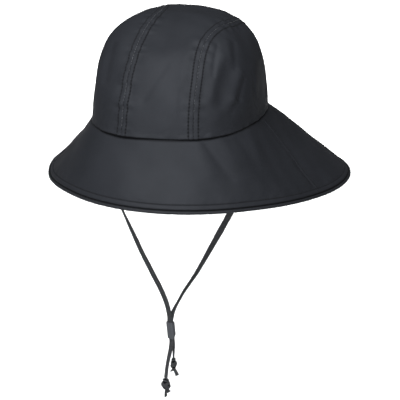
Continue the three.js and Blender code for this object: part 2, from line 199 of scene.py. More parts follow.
# Relief down the brim from the crown seam
BRIM_TOP_RELIEF = ((0, -0.8), (1.1, -0.65), (2.4, -0.1), (4, 0.05), (8, 0))
# Relief up the brim from its edge
BRIM_HEM_RELIEF = (
    (-2, -1), (0.2, -0.9), (0.6, -0.3), (1.1, 0.4), (2.2, 0.5), (4, 0.3), (5, 0), (5.5, -0.35),
    (6, -0.05), (8, 0.03), (12, 0),
)

# Route of each strand of the chin strap
STRAP_LEFT_ROUTE = (
    (0.0772, -0.03, 0.012), (0.0772, -0.03, 0.004), (0.077, -0.03, -0.006),
    (0.0763, -0.03, -0.018), (0.075, -0.03, -0.032), (0.0728, -0.03, -0.048),
    (0.0695, -0.03, -0.064), (0.0648, -0.03, -0.079), (0.058, -0.03, -0.0935),
    (0.0502, -0.03, -0.1085), (0.0416, -0.03, -0.1247), (0.0326, -0.03, -0.1415),
    (0.0236, -0.03, -0.158), (0.0156, -0.03, -0.171), (0.0083, -0.0299, -0.1825),
    (0.0019, -0.0297, -0.1945), (-0.003, -0.0295, -0.2045), (-0.0057, -0.02935, -0.212),
    (-0.0067, -0.0293, -0.2175), (-0.006, -0.0293, -0.22675), (-0.0053, -0.0293, -0.236),
    (-0.0047, -0.0293, -0.241), (-0.0043, -0.0293, -0.248), (-0.0046, -0.0293, -0.2586),
)
STRAP_RIGHT_ROUTE = (
    (-0.0772, -0.03, 0.012), (-0.0772, -0.03, 0.004), (-0.077, -0.03, -0.006),
    (-0.0762, -0.03, -0.02), (-0.0744, -0.03, -0.036), (-0.0714, -0.03, -0.053),
    (-0.0672, -0.03, -0.07), (-0.0612, -0.03, -0.0865), (-0.0546, -0.03, -0.1005),
    (-0.0469, -0.03, -0.1178), (-0.0415, -0.03, -0.13), (-0.0361, -0.03, -0.1425),
    (-0.0297, -0.03, -0.1553), (-0.0235, -0.0301, -0.1678), (-0.0182, -0.0302, -0.178),
    (-0.0137, -0.0303, -0.1879), (-0.0102, -0.0304, -0.1975), (-0.0081, -0.0306, -0.207),
    (-0.0074, -0.03065, -0.2125), (-0.0073, -0.0307, -0.2175), (-0.0066, -0.0307, -0.22675),
    (-0.0059, -0.0307, -0.236), (-0.006, -0.0307, -0.241), (-0.0072, -0.0307, -0.2485),
    (-0.0089, -0.0307, -0.256), (-0.0104, -0.0307, -0.263), (-0.0116, -0.0307, -0.27),
    (-0.0132, -0.0307, -0.2826),
)
SLEEVE_ROW_LEFT = 19
SLEEVE_ROW_RIGHT = 20

# Turn of each strand's wide side at even steps of its length, in degrees
STRAP_LEFT_TWISTS = (
    0, 6, 12, 20, 28, 37, 46, 54, 61, 67, 73, 80, 88, 95, 101, 107, 115, 121, 129, 135, 140, 147,
    150, 151, 153, 152, 138, 118, 114, 114, 126, 146, 154,
)
STRAP_RIGHT_TWISTS = (
    0, -1, -3, -4, -6, -8, -10, -13, -16, -20, -25, -32, -40, -46, -55, -62, -65, -67, -71, -73,
    -75, -75, -74, -72, -69, -66, -66, -66, -56, -47, -43, -44, -46,
)


# Placing

def put(name, data):
    """An object that holds some data, in the scene."""
    made = bpy.data.objects.new(name, data)
    bpy.context.collection.objects.link(made)
    return made


def turn_to(thing, right, up, back, place):
    """Sets a camera or light at a place: the columns of its turn are its right, up and back."""
    turn = np.eye(4)
    turn[:3] = np.stack([right, up, back, place], axis=1)
    thing.matrix_world = Matrix(turn.tolist())


# Camera

def add_camera(azimuth, elevation, roll, place, lens):
    """A camera at a place, looking down its back vector (sin a cos e, -cos a cos e, sin e), with
    its right and up turned by the roll."""
    a, e, r = np.radians((azimuth, elevation, roll))
    level = np.array([math.cos(a), math.sin(a), 0])
    back = np.array([math.sin(a) * math.cos(e), -math.cos(a) * math.cos(e), math.sin(e)])
    rise = np.cross(back, level)
    right = math.cos(r) * level + math.sin(r) * rise
    up = -math.sin(r) * level + math.cos(r) * rise
    data = bpy.data.cameras.new("camera")
    data.lens = lens
    data.sensor_width = 36
    data.clip_start = 0.05
    data.clip_end = 60
    camera = put("camera", data)
    turn_to(camera, right, up, back, place)
    bpy.context.scene.camera = camera


add_camera(azimuth=16.682, elevation=19.176, roll=-0.952, place=(0.41828, -1.33499, 0.39194),
           lens=130.5)


# Curves and shapes

def smooth(values, place, loop=False):
    """Catmull-Rom curve through even rows of values at places counted in rows. The rows close
    into a ring, or go straight on past their ends."""
    values = np.asarray(values, float)
    if loop:
        rows = np.concatenate([values[-1:], values, values[:2]])
        place = np.mod(place, len(values))
    else:
        before, after = 2 * values[:1] - values[1:2], 2 * values[-1:] - values[-2:-1]
        rows = np.concatenate([before, values, after])
        place = np.clip(place, 0, len(values) - 1 - 1e-9)
    step = np.floor(place).astype(int)
    part = (place - step)[(...,) + (None,) * (values.ndim - 1)]
    a, b, c, d = (rows[step + k] for k in range(4))
    square = (2 * a - 5 * b + 4 * c - d) * part**2
    cube = (3 * b - a - 3 * c + d) * part**3
    return 0.5 * (2 * b + (c - a) * part + square + cube)


def unit(vectors):
    """Each vector divided by its own length."""
    return vectors / np.maximum(np.linalg.norm(vectors, axis=-1, keepdims=True), 1e-12)


def turns(steps):
    """Angles at even steps round a circle."""
    return np.linspace(0, 2 * math.pi, steps, endpoint=False)


def squared_ring(steps, power):
    """Even turns round a ring of half width 1 with flattened sides: cosine and sine raised to a
    power, with their signs kept."""
    ring = np.stack([np.cos(turns(steps)), np.sin(turns(steps))], axis=1)
    return np.sign(ring) * np.abs(ring) ** power


def relief(table, away):
    """Height in metres from a table of millimetres, at distances in metres."""
    rows = np.array(table) / 1000
    return np.interp(away, rows[:, 0], rows[:, 1])


def ease(value, low, high):
    """Smooth step: 0 below low, 1 above high, 3t^2 - 2t^3 between."""
    t = np.clip((value - low) / (high - low), 0, 1)
    return t * t * (3 - 2 * t)


def bell(distance, middle, half):
    """1 at the middle, falling to both sides: exp(-((distance - middle) / half)^2)."""
    return np.exp(-((distance - middle) / half) ** 2)


def run_along(line):
    """How far along a line of points each of them lies: the sum of the steps before it."""
    return np.concatenate([[0], np.cumsum(np.linalg.norm(np.diff(line, axis=0), axis=1))])


def close_ends(steps, share):
    """Even steps from 0 to 1 drawn towards both ends: t - share * sin(2 pi t) / (2 pi)."""
    t = np.linspace(0, 1, steps + 1)
    return t - share * np.sin(2 * math.pi * t) / (2 * math.pi)


def soft_waves(points, seed, length, depth):
    """Sum of nine sine waves of about one length in random directions, about depth high."""
    chance = np.random.default_rng(seed)
    ways = unit(chance.normal(size=(9, 3)))
    ways *= 2 * math.pi / (length * chance.uniform(0.7, 1.5, (9, 1)))
    return depth / 3 * np.sin(points @ ways.T + chance.uniform(0, 6.28, 9)).sum(-1)


def puckers(points, away, seed, length, depth, middle, half):
    """Soft waves over a band: their height times a bell of the distance from the band's middle."""
    return soft_waves(points, seed, length, depth) * bell(away, middle, half)


def folds_at(folds, u, v, stretch):
    """Sum of soft bumps along line pieces: depth * exp(-(distance / width)^2)."""
    height = np.zeros(np.shape(u))
    for u0, v0, u1, v1, width, depth in folds:
        du, dv = u1 - u0, (v1 - v0) * stretch
        near = np.clip(((u - u0) * du + (v - v0) * stretch * dv) / (du * du + dv * dv), 0, 1)
        far = np.hypot(u - u0 - du * near, (v - v0) * stretch - dv * near)
        height += depth * FOLD_DEPTH * bell(far, 0, width)
    return height


def away_from(points, line):
    """Distance of each point from a line of points, and how far along the line it lies: first the
    nearest point, then the nearest place on the two pieces beside it."""
    flat = points.reshape(-1, 3)
    run = run_along(line)
    nearest = np.concatenate([
        ((part[:, None] - line) ** 2).sum(-1).argmin(1)
        for part in np.array_split(flat, max(1, len(flat) // 3000))
    ])
    best = np.full(len(flat), np.inf)
    along = np.zeros(len(flat))
    for first in (np.maximum(nearest - 1, 0), np.minimum(nearest, len(line) - 2)):
        start, way = line[first], line[first + 1] - line[first]
        t = np.clip(((flat - start) * way).sum(1) / (way * way).sum(1), 0, 1)
        far = np.linalg.norm(flat - start - t[:, None] * way, axis=1)
        closer = far < best
        best[closer] = far[closer]
        along[closer] = (run[first] + t * (run[first + 1] - run[first]))[closer]
    return best.reshape(points.shape[:-1]), along.reshape(points.shape[:-1])


def evenly(line, step, *others):
    """Points at even steps along a line, with what else is known at its points."""
    run = run_along(line)
    at = np.linspace(0, run[-1], max(2, round(run[-1] / step) + 1))
    return [
        np.stack([np.interp(at, run, column) for column in values.T], axis=1)
        for values in (line, *others)
    ]


# Crown

def fullness(direction):
    """Share of the crown's ellipsoid at a direction: a superellipse round the head, its side and
    length taken from the crown rows at that rise."""
    x, y, z = np.moveaxis(direction, -1, 0)
    flat = np.hypot(x, y) + 1e-12
    place = np.arctan2(np.maximum(z, 0), flat) / CROWN_ROW_STEP
    rows = smooth(CROWN_ROWS, place)
    length = np.where(y < 0, rows[..., 1], rows[..., 2])
    power = OPENING_SQUARENESS + (2 - OPENING_SQUARENESS) * place / (len(CROWN_ROWS) - 1)
    across = (np.abs(x) + 1e-12) / flat
    return ((across / rows[..., 0]) ** power + (np.abs(y) / flat / length) ** power) ** (-1 / power)


def crown_direction(arch, tilt):
    """Direction on the crown: arch goes from the front over the top, tilt to the wearer's left."""
    flat = np.cos(tilt)
    return np.stack([np.sin(tilt), -np.cos(arch) * flat, np.sin(arch) * flat], axis=-1)


def crown_surface(direction):
    """Direction times fullness times the head's sizes, with the folds and the lean added."""
    x, y, z = np.moveaxis(direction, -1, 0)
    sizes = np.array([HEAD_HALF_WIDTH, HEAD_HALF_LENGTH, CROWN_HEIGHT])
    arch, tilt = np.degrees(np.arctan2(z, -y)), np.degrees(np.arcsin(np.clip(x, -1, 1)))
    fold = folds_at(CROWN_FOLDS, arch, tilt, 1) * np.minimum(1, 4 * z)
    point = direction * fullness(direction)[..., None] * sizes + direction * fold[..., None]
    point[..., 0] += CROWN_LEAN * point[..., 2] / CROWN_HEIGHT
    return point


def crown_point(arch, tilt):
    """Point of the crown's outer face and its outward normal, from two small steps across it."""
    direction = crown_direction(arch, tilt)
    first = np.stack([-direction[..., 1], direction[..., 0], 0 * arch], axis=-1)
    first[np.linalg.norm(first, axis=-1) < 1e-6] = (1, 0, 0)
    first = unit(first)
    second = np.cross(direction, first)

    def sample(step):
        """Point of the surface a small step away, kept at or above the seam."""
        near = unit(direction + step)
        near[..., 2] = np.maximum(near[..., 2], 0)
        return crown_surface(unit(near))

    along = sample(first * 0.002) - sample(first * -0.002)
    rise = sample(second * 0.002) - sample(second * -0.002)
    normal = unit(np.cross(along, rise))
    normal *= np.where((normal * direction).sum(-1) < 0, -1, 1)[..., None]
    normal[direction[..., 2] < 1e-6, 2] = 0
    return crown_surface(direction), unit(normal)


def tilt_at(arch, x):
    """Tilt of the place at a distance to the wearer's left, by repeated correction."""
    tilt = np.arcsin(x / HEAD_HALF_WIDTH)
    for _ in range(12):
        full = fullness(crown_direction(arch, tilt))
        tilt = np.arcsin(np.clip(x / (HEAD_HALF_WIDTH * full), -1, 1))
    return tilt


def panel_edge(arch, side):
    """Distance of a panel seam to the wearer's left at an arch."""
    rows = smooth(PANEL_ROWS, arch / PANEL_ROW_STEP) * PANEL_HALF_WIDTH
    return rows[..., 1] + side * rows[..., 0]


SEAM_ARCH = np.linspace(0, math.pi, 700)
CROWN_SEAMS = [
    crown_point(SEAM_ARCH, tilt_at(SEAM_ARCH, panel_edge(SEAM_ARCH, side)))[0] for side in (-1, 1)
]


def crown_relief(point):
    """Height of the crown's sewing and soft unevenness, and how far a place lies in a groove, which
    sets painted shade there: the two felled seams, their puckers, and the hem."""
    height = sum(soft_waves(point, *wave) for wave in CROWN_WAVES)
    groove = np.zeros(point.shape[:-1])
    seed, *pucker = CROWN_SEAM_PUCKERS
    for number, seam in enumerate(CROWN_SEAMS):
        away, along = away_from(point, seam)
        height += relief(SEAM_RELIEF, away)
        height += puckers(along[..., None] * (1, 0, 0), away, seed + number, *pucker)
        # Painted shade along the join and the stitch rows, dashed so it is darkest at the stitch
        # holes
        dash = 1 - STITCH_FADE * (1 - np.cos(2 * math.pi * along / STITCH_PITCH))
        groove += 0.7 * dash * bell(away, 0, JOIN_GROOVE)
        groove += 1.6 * dash * bell(away, SEAM_STITCH_AWAY, STITCH_GROOVE)
    up = point[..., 2]
    # Painted shade along the hem, where the crown meets the brim
    groove += bell(up, 0, HEM_GROOVE)
    height += relief(CROWN_HEM_RELIEF, up) + puckers(point, up, *CROWN_HEM_PUCKERS)
    return height, np.clip(groove, 0, 1)


# Brim

def seam_ring(around):
    """Point of the crown's base line at an angle, and its outward direction: square to the line
    between two points close beside it."""
    def at(angle):
        """Level direction times fullness times the head's half width and length."""
        direction = np.stack([np.cos(angle), np.sin(angle), 0 * angle], axis=-1)
        sizes = np.array([HEAD_HALF_WIDTH, HEAD_HALF_LENGTH, 0])
        return direction * fullness(direction)[..., None] * sizes

    way = unit(at(around + 0.001) - at(around - 0.001))
    return at(around), np.stack([way[..., 1], -way[..., 0], 0 * around], axis=-1)


def brim_line(around):
    """Where the brim starts at an angle, its way down, its outward face and its length."""
    point, out = seam_ring(around)
    rows = smooth(BRIM_ROWS, around / BRIM_ROW_STEP, loop=True)
    reach, drop = rows[..., :1] * BRIM_REACH, rows[..., 1:] * BRIM_DROP
    length = np.hypot(reach, drop)
    down = np.array([0, 0, -1])
    way = (out * reach + down * drop) / length
    face = (out * drop - down * reach) / length
    return point, out, way, face, length[..., 0]


def brim_point(around, share):
    """Point of the brim's outer face at a share of the way to its edge, its face direction, its
    inward direction, and how far it lies from the crown seam and from the edge."""
    point, out, way, face, length = brim_line(around)
    cut = length - PIPING_DIAMETER - SEAM_GAP
    degrees = np.degrees(around)
    folds = sum(folds_at(BRIM_FOLDS, degrees + k, share, BRIM_FOLD_DEGREES) for k in (0, 360))
    folds *= np.clip(np.minimum(12 * share, 12 * (1 - share)), 0, 1)
    from_seam, from_edge = share * cut, (1 - share) * cut
    inward = unit(face + (out - face) * (1 - ease(from_seam, 0, 0.004))[..., None])
    place = point + way * from_seam[..., None] + face * folds[..., None]
    return place, face, inward, from_seam, from_edge


BRIM_SIDE_SEAMS = [
    brim_point(np.full(300, angle), np.linspace(0, 1.02, 300))[0] for angle in (0, math.pi)
]


def brim_relief(point, from_seam, from_edge):
    """Height of the brim's sewing and soft unevenness, and how far a place lies in a groove, which
    sets painted shade there: the side seams, the tuck under the crown, and the stitched hem."""
    height = sum(soft_waves(point, *wave) for wave in BRIM_WAVES) * ease(from_edge, 0, 0.02)
    groove = np.zeros(point.shape[:-1])
    inside_hem = ease(from_edge, 0.004, 0.007)
    seed, *pucker = BRIM_SEAM_PUCKERS
    for number, seam in enumerate(BRIM_SIDE_SEAMS):
        away, along = away_from(point, seam)
        height += relief(SIDE_RELIEF, away) * inside_hem
        height += puckers(along[..., None] * (1, 0, 0), away, seed + number, *pucker) * inside_hem
        # Painted shade along each side seam's join and stitch rows
        groove += 0.6 * bell(away, 0, JOIN_GROOVE)
        groove += 0.5 * bell(away, SIDE_STITCH_AWAY, JOIN_GROOVE) * inside_hem
    height += relief(BRIM_TOP_RELIEF, from_seam) + relief(BRIM_HEM_RELIEF, from_edge)
    height += puckers(point, from_edge, *BRIM_HEM_PUCKERS)
    # Painted shade along the hem stitching, where the cloth runs into the binding, and in the tuck
    # under the crown
    groove += 0.8 * bell(from_edge, HEM_STITCH_AWAY, HEM_GROOVE)
    groove += ease(-from_edge, -0.0012, -0.0003) + bell(from_seam, 0, 0.0018)
    return height, np.clip(groove, 0, 1)


# Meshes

def put_mesh(name, points, faces, groove=None, uv=None, backs=None):
    """A mesh object from an array of points and an array of four-cornered faces, closed where
    points meet and smooth but for sharp turns. Stored at its points: how far each lies in a
    groove, which sets where shade is painted, and a map."""
    mesh = bpy.data.meshes.new(name)
    mesh.vertices.add(len(points))
    mesh.vertices.foreach_set("co", np.ascontiguousarray(points, np.float32).ravel())
    mesh.loops.add(faces.size)
    mesh.loops.foreach_set("vertex_index", faces.ravel().astype(np.int32))
    mesh.polygons.add(len(faces))
    mesh.polygons.foreach_set("loop_start", np.arange(0, faces.size, 4, dtype=np.int32))
    mesh.update(calc_edges=True)
    if backs is not None:
        mesh.polygons.foreach_set("material_index", backs.astype(np.int32))
    layer = mesh.attributes.new("groove", "FLOAT", "POINT")
    if groove is not None:
        layer.data.foreach_set("value", np.ascontiguousarray(groove, np.float32).ravel())
    if uv is not None:
        layer = mesh.uv_layers.new(name="tape")
        layer.data.foreach_set("uv", uv[faces.ravel()].astype(np.float32).ravel())
    made = bmesh.new()
    made.from_mesh(mesh)
    bmesh.ops.remove_doubles(made, verts=made.verts, dist=2e-6)
    bmesh.ops.recalc_face_normals(made, faces=made.faces)
    made.to_mesh(mesh)
    made.free()
    mesh.polygons.foreach_set("use_smooth", np.ones(len(mesh.polygons), bool))
    mesh.set_sharp_from_angle(angle=SHARP_TURN)
    return put(name, mesh)


def grid_faces(numbers, loop_rows=False, loop_columns=False):
    """Four-cornered faces of a grid of point numbers, its rows or columns closed into rings."""
    if loop_rows:
        numbers = np.concatenate([numbers, numbers[:1]])
    if loop_columns:
        numbers = np.concatenate([numbers, numbers[:, :1]], axis=1)
    corners = (numbers[:-1, :-1], numbers[1:, :-1], numbers[1:, 1:], numbers[:-1, 1:])
    return np.stack(corners, axis=-1).reshape(-1, 4)


def cloth(name, node_name, point, face, inward, height, groove):
    """Cloth closed round its rim: its outer face lies at a height over a grid of points, its inner
    face at the cloth's thickness behind them, less a share of the height, with a backing."""
    outer = point + face * height[..., None]
    inner = point - inward * (CLOTH - BACK_SHARE * height)[..., None]
    rows, columns = height.shape
    front = np.arange(rows * columns).reshape(rows, columns)
    back = front + rows * columns
    rim = np.concatenate([
        grid_faces(np.stack([back[0], front[0]])),
        grid_faces(np.stack([front[-1], back[-1]])),
        grid_faces(np.stack([front[:, 0], back[:, 0]])),
        grid_faces(np.stack([back[:, -1], front[:, -1]])),
    ])
    faces = np.concatenate([grid_faces(front), rim, grid_faces(back)[:, ::-1]])
    backs = np.arange(len(faces)) >= len(faces) - (rows - 1) * (columns - 1)
    points = np.concatenate([outer.reshape(-1, 3), inner.reshape(-1, 3)])
    piece = put_mesh(name, points, faces, np.tile(groove.ravel(), 2), backs=backs)
    for material in ("coated_cloth", "cloth_backing"):
        piece.data.materials.append(MATERIALS[material])
    finished(piece, "coated_cloth", node_name)


def finished(piece, slot, *nodes):
    """A piece that rides on the hat, takes its finish from a slot, and stands for some solids."""
    if not piece.data.materials:
        piece.data.materials.append(MATERIALS[slot])
    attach(piece, "root")
    if nodes:
        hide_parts(*nodes)
    return piece


def swept(name, centres, wide, thick, half_width, half_thickness, sides=20):
    """A flat tape carried along a line: at each point of the line a squared ring, stretched along
    the wide and the thick direction, and a map of how far across and along each place lies."""
    across, rise = squared_ring(sides, TAPE_SQUARENESS).T
    w = np.broadcast_to(half_width, len(centres))[:, None, None]
    h = np.broadcast_to(half_thickness, len(centres))[:, None, None]
    rings = (centres[:, None] + wide[:, None] * (w * across[:, None])
             + thick[:, None] * (h * rise[:, None]))
    run = run_along(centres)[:, None]
    uv = np.stack(np.broadcast_arrays(w[..., 0] * across, run), axis=-1).reshape(-1, 2)
    numbers = np.arange(rings.shape[0] * sides).reshape(-1, sides)
    half = sides // 2
    start, end = (
        grid_faces(np.stack([ring[:half], ring[half:][::-1]])) for ring in (numbers[0], numbers[-1])
    )
    faces = np.concatenate([grid_faces(numbers, loop_columns=True), start[:, ::-1], end])
    return put_mesh(name, rings.reshape(-1, 3), faces, uv=uv)


def joined(name, pieces):
    """One object from several: their meshes put together under one name."""
    made = bmesh.new()
    for piece in pieces:
        made.from_mesh(piece.data)
    mesh = bpy.data.meshes.new(name)
    made.to_mesh(mesh)
    made.free()
    for piece in pieces:
        bpy.data.objects.remove(piece)
    mesh.set_sharp_from_angle(angle=SHARP_TURN)
    return put(name, mesh)


def stitches(name, rows):
    """Short thread pieces at even steps along lines: six-sided, thick in the middle, with their
    ends dipping into the cloth. A row is (points, outward directions)."""
    lines = [evenly(line, STITCH_PITCH, outward) for line, outward in rows]
    place = np.concatenate([(at[1:] + at[:-1]) / 2 for at, up in lines])
    way = unit(np.concatenate([at[1:] - at[:-1] for at, up in lines]))
    up = unit(np.concatenate([up[1:] + up[:-1] for at, up in lines]))
    up = unit(up - way * (up * way).sum(-1, keepdims=True))
    side = np.cross(way, up)
    x = np.array([-0.5, -0.36, 0, 0.36, 0.5]) * STITCH_LENGTH
    size = np.array([0.35, 0.95, 1, 0.95, 0.35]) * THREAD / 2
    dip = np.array([-1.3, -0.35, 0.1, -0.35, -1.3]) * THREAD / 2
    t = turns(6)
    ring_side, ring_up = np.cos(t) * size[:, None], np.sin(t) * size[:, None] + dip[:, None]
    place, way, side, up = (vectors[:, None, None] for vectors in (place, way, side, up))
    points = (place + way * x[:, None, None] + side * ring_side[..., None]
              + up * ring_up[..., None])
    numbers = np.arange(30).reshape(5, 6)
    ends = [(0, 1, 2, 3), (0, 3, 4, 5), (27, 26, 25, 24), (29, 28, 27, 24)]
    one = np.concatenate([grid_faces(numbers, loop_columns=True), np.array(ends)])
    faces = (one[None] + 30 * np.arange(len(place))[:, None, None]).reshape(-1, 4)
    return put_mesh(name, points.reshape(-1, 3), faces)


# Materials

MATERIALS = {}


def new_group(name, inputs, outputs):
    """An empty node group with what it is given and what it gives: inputs is {name: default},
    where a tuple of three is a vector and of four a colour."""
    group = bpy.data.node_groups.new(name, "ShaderNodeTree")
    for label, default in inputs.items():
        size = len(default) if isinstance(default, tuple) else 1
        kind = {1: "NodeSocketFloat", 3: "NodeSocketVector", 4: "NodeSocketColor"}[size]
        socket = group.interface.new_socket(label, in_out="INPUT", socket_type=kind)
        socket.default_value = default
    for label, kind in outputs.items():
        group.interface.new_socket(label, in_out="OUTPUT", socket_type=kind)
    given, out = group.nodes.new("NodeGroupInput"), group.nodes.new("NodeGroupOutput")
    return group, given.outputs, out.inputs


def node(tree, kind, inputs=None, **settings):
    """A node with its settings, its input sockets linked to other sockets or set to values."""
    made = tree.nodes.new(kind)
    for label, value in settings.items():
        setattr(made, label, value)
    for label, value in (inputs or {}).items():
        if isinstance(value, bpy.types.NodeSocket):
            tree.links.new(value, made.inputs[label])
        else:
            made.inputs[label].default_value = value
    return made


def maths(tree, operation, *values, clamp=False):
    """A maths node's output."""
    return node(tree, "ShaderNodeMath", dict(enumerate(values)), operation=operation,
                use_clamp=clamp).outputs[0]


def noise(tree, place, scale, detail):
    """A noise node's output."""
    inputs = {"Vector": place, "Scale": scale, "Detail": detail}
    return node(tree, "ShaderNodeTexNoise", inputs).outputs["Fac"]


def grain_group():
    """Height of a coated surface: pebbles of one size from a noise, with a coarser unevenness."""
    group, given, out = new_group("grain", {"Place": (0, 0, 0), "Pebbles per metre": 1600.0},
                                  {"Height": "NodeSocketFloat"})
    fine = noise(group, given["Place"], given["Pebbles per metre"], 2.0)
    slow = maths(group, "MULTIPLY", given["Pebbles per metre"], 0.14)
    coarse = noise(group, given["Place"], slow, 2.0)
    both = maths(group, "ADD", fine, maths(group, "MULTIPLY", coarse, 0.8))
    group.links.new(both, out["Height"])
    return group


def colour_mix(tree, factor, first, second):
    """Output of a colour mix node."""
    return node(tree, "ShaderNodeMix", {0: factor, 6: first, 7: second},
                data_type="RGBA").outputs[2]


def mottle_and_groove_shade_group():
    """Colour that wanders between two shades over the surface, with painted shade in the grooves:
    there it is mixed towards near black.
    """
    group, given, out = new_group("mottle_and_groove_shade", {
        "Place": (0, 0, 0), "Shade": (0.05, 0.05, 0.05, 1), "Lighter": (0.06, 0.06, 0.06, 1),
        "Groove": 0.0, "Patches per metre": 30.0}, {"Color": "NodeSocketColor"})
    patches = noise(group, given["Place"], given["Patches per metre"], 3.0)
    spread = node(group, "ShaderNodeMapRange", {
        "Value": patches, "From Min": 0.3, "From Max": 0.7}).outputs["Result"]
    base = colour_mix(group, spread, given["Shade"], given["Lighter"])
    # Painted shade: near black mixed in by the groove mask, for the shade in seams, stitch holes
    # and creases
    deep = colour_mix(group, given["Groove"], base, (0.006, 0.006, 0.007, 1))
    group.links.new(deep, out["Color"])
    return group


def weave_group():
    """Height of a plain weave on a map in metres: threads across and along, each passing over
    and under, as |sin| ribs in a chequered order."""
    group, given, out = new_group("weave", {"Map": (0, 0, 0), "Thread": 0.0007},
                                  {"Height": "NodeSocketFloat"})
    place = node(group, "ShaderNodeSeparateXYZ", {0: given["Map"]}).outputs
    pace = maths(group, "DIVIDE", math.pi, given["Thread"])
    across = maths(group, "MULTIPLY", place["X"], pace)
    along = maths(group, "MULTIPLY", place["Y"], pace)
    ribs = [maths(group, "ABSOLUTE", maths(group, "SINE", way)) for way in (across, along)]
    order = maths(group, "MULTIPLY", maths(group, "SINE", across), maths(group, "SINE", along))
    over = maths(group, "MULTIPLY_ADD", maths(group, "SIGN", order), 0.5, 0.5)
    first = maths(group, "MULTIPLY", ribs[0], over)
    second = maths(group, "MULTIPLY", ribs[1], maths(group, "SUBTRACT", 1.0, over))
    group.links.new(maths(group, "ADD", first, second), out["Height"])
    return group


GRAIN = grain_group()
MOTTLE_AND_GROOVE_SHADE = mottle_and_groove_shade_group()
WEAVE = weave_group()


def new_material(name, values):
    """A material's node tree and its shader's inputs, set to its even values."""
    material = bpy.data.materials.new(name)
    material.use_nodes = True
    tree = material.node_tree
    shader = tree.nodes["Principled BSDF"].inputs
    for label, value in values.items():
        shader[label].default_value = value
    MATERIALS[name] = material
    return tree, shader


def groove_shade_of(tree):
    """How far each place lies in a groove, as the mesh says: the mask for painted shade."""
    return node(tree, "ShaderNodeAttribute", attribute_name="groove").outputs["Fac"]


def surface(tree, shader, mottled_and_shaded, texture, bump, depth):
    """Gives a shader the colour of one group and the bumps of another."""
    bumps = node(tree, "ShaderNodeBump", {
        "Strength": bump, "Distance": depth, "Height": texture.outputs["Height"]})
    tree.links.new(mottled_and_shaded.outputs["Color"], shader["Base Color"])
    tree.links.new(bumps.outputs["Normal"], shader["Normal"])


def coated(name, shade, lighter, roughness, pebbles, bump):
    """Coated cloth: wandering shade, painted shade and duller roughness in the grooves, and a
    fine pebbled bump.
    """
    tree, shader = new_material(name, {"Roughness": roughness})
    place, groove = node(tree, "ShaderNodeTexCoord").outputs["Object"], groove_shade_of(tree)
    mottled_and_shaded = node(tree, "ShaderNodeGroup", {
        "Place": place, "Shade": shade, "Lighter": lighter, "Groove": groove}, node_tree=MOTTLE_AND_GROOVE_SHADE)
    grain = node(tree, "ShaderNodeGroup", {
        "Place": place, "Pebbles per metre": pebbles}, node_tree=GRAIN)
    duller = node(tree, "ShaderNodeMapRange", {"Value": groove, "To Min": roughness, "To Max": 1.0})
    surface(tree, shader, mottled_and_shaded, grain, bump, 0.0002)
    tree.links.new(duller.outputs["Result"], shader["Roughness"])


def woven(name, shade, lighter, thread, source, bump):
    """Woven tape or backing: a plain weave on a map or on the place, its colour mottled, and
    painted shade where the weave lies low and in the grooves.
    """
    tree, shader = new_material(name, {
        "Roughness": 0.9, "Sheen Weight": 0.04, "Sheen Roughness": 0.4, "Specular IOR Level": 0.25})
    coordinates = node(tree, "ShaderNodeTexCoord").outputs
    weave = node(tree, "ShaderNodeGroup", {
        "Map": coordinates[source], "Thread": thread}, node_tree=WEAVE)
    # Painted shade: darker colour between the threads, where the weave lies low, and in the grooves
    # the mesh marks
    low = maths(tree, "SUBTRACT", 1.0, weave.outputs["Height"], clamp=True)
    deep = maths(tree, "ADD", maths(tree, "MULTIPLY", low, 0.5), groove_shade_of(tree), clamp=True)
    mottled_and_shaded = node(tree, "ShaderNodeGroup", {
        "Place": coordinates["Object"], "Shade": shade, "Lighter": lighter, "Groove": deep,
        "Patches per metre": 500}, node_tree=MOTTLE_AND_GROOVE_SHADE)
    surface(tree, shader, mottled_and_shaded, weave, bump, 0.0003)


# Shade, lighter shade, roughness, pebbles per metre, bump
coated("coated_cloth", (0.019, 0.0205, 0.025, 1), (0.026, 0.0275, 0.033, 1), 0.7, 1500.0, 0.3)
coated("edge_piping", (0.021, 0.0225, 0.026, 1), (0.028, 0.0295, 0.034, 1), 0.7, 1500.0, 0.3)
coated("slider_leather", (0.1, 0.103, 0.11, 1), (0.15, 0.154, 0.163, 1), 0.55, 900.0, 0.6)

# Shade, lighter shade, thread size, map of the weave, bump
woven("strap_tape", (0.09, 0.09, 0.09, 1), (0.14, 0.14, 0.141, 1), 0.0007, "UV", 0.8)
woven("cloth_backing", (0.03, 0.03, 0.033, 1), (0.04, 0.04, 0.044, 1), 0.0006, "Object", 0.5)
# The join thread's pale colour is partly painted highlight, standing in for glints along the seam
# join
woven("join_thread_painted_glints", (0.12, 0.12, 0.125, 1), (0.28, 0.28, 0.29, 1), 0.0002, "Object", 0.4)
woven("sewing_thread", (0.012, 0.012, 0.014, 1), (0.03, 0.03, 0.033, 1), 0.0002, "Object", 0.4)


# Chin strap

def strand_frame(route, twists, step):
    """Points at even steps along the smooth curve through a route, with the wide and the thick
    direction of the tape there: the line from front to back turned about the curve."""
    route = np.array(route)
    line = smooth(route, np.linspace(0, len(route) - 1, 1500))
    centres = evenly(line, step)[0]
    run = unit(np.gradient(centres, axis=0))
    leftward = unit(np.cross(run, (0, 1, 0)))
    backward = np.cross(leftward, run)
    place = np.linspace(0, len(twists) - 1, len(centres))
    turn = np.radians(smooth(np.array(twists), place))[:, None]
    wide = backward * np.cos(turn) + leftward * np.sin(turn)
    return centres, wide, np.cross(run, wide)


def strand(name, route, twists):
    """One strand of the strap: the tape carried along its route, its edges a little uneven."""
    centres, wide, thick = strand_frame(route, twists, TAPE_STEP)
    uneven = 1 + 0.03 * soft_waves(centres, 41, 0.006, 1.0)
    piece = swept(name, centres, wide, thick, TAPE_WIDTH / 2 * uneven, TAPE_THICKNESS / 2)
    return piece, centres


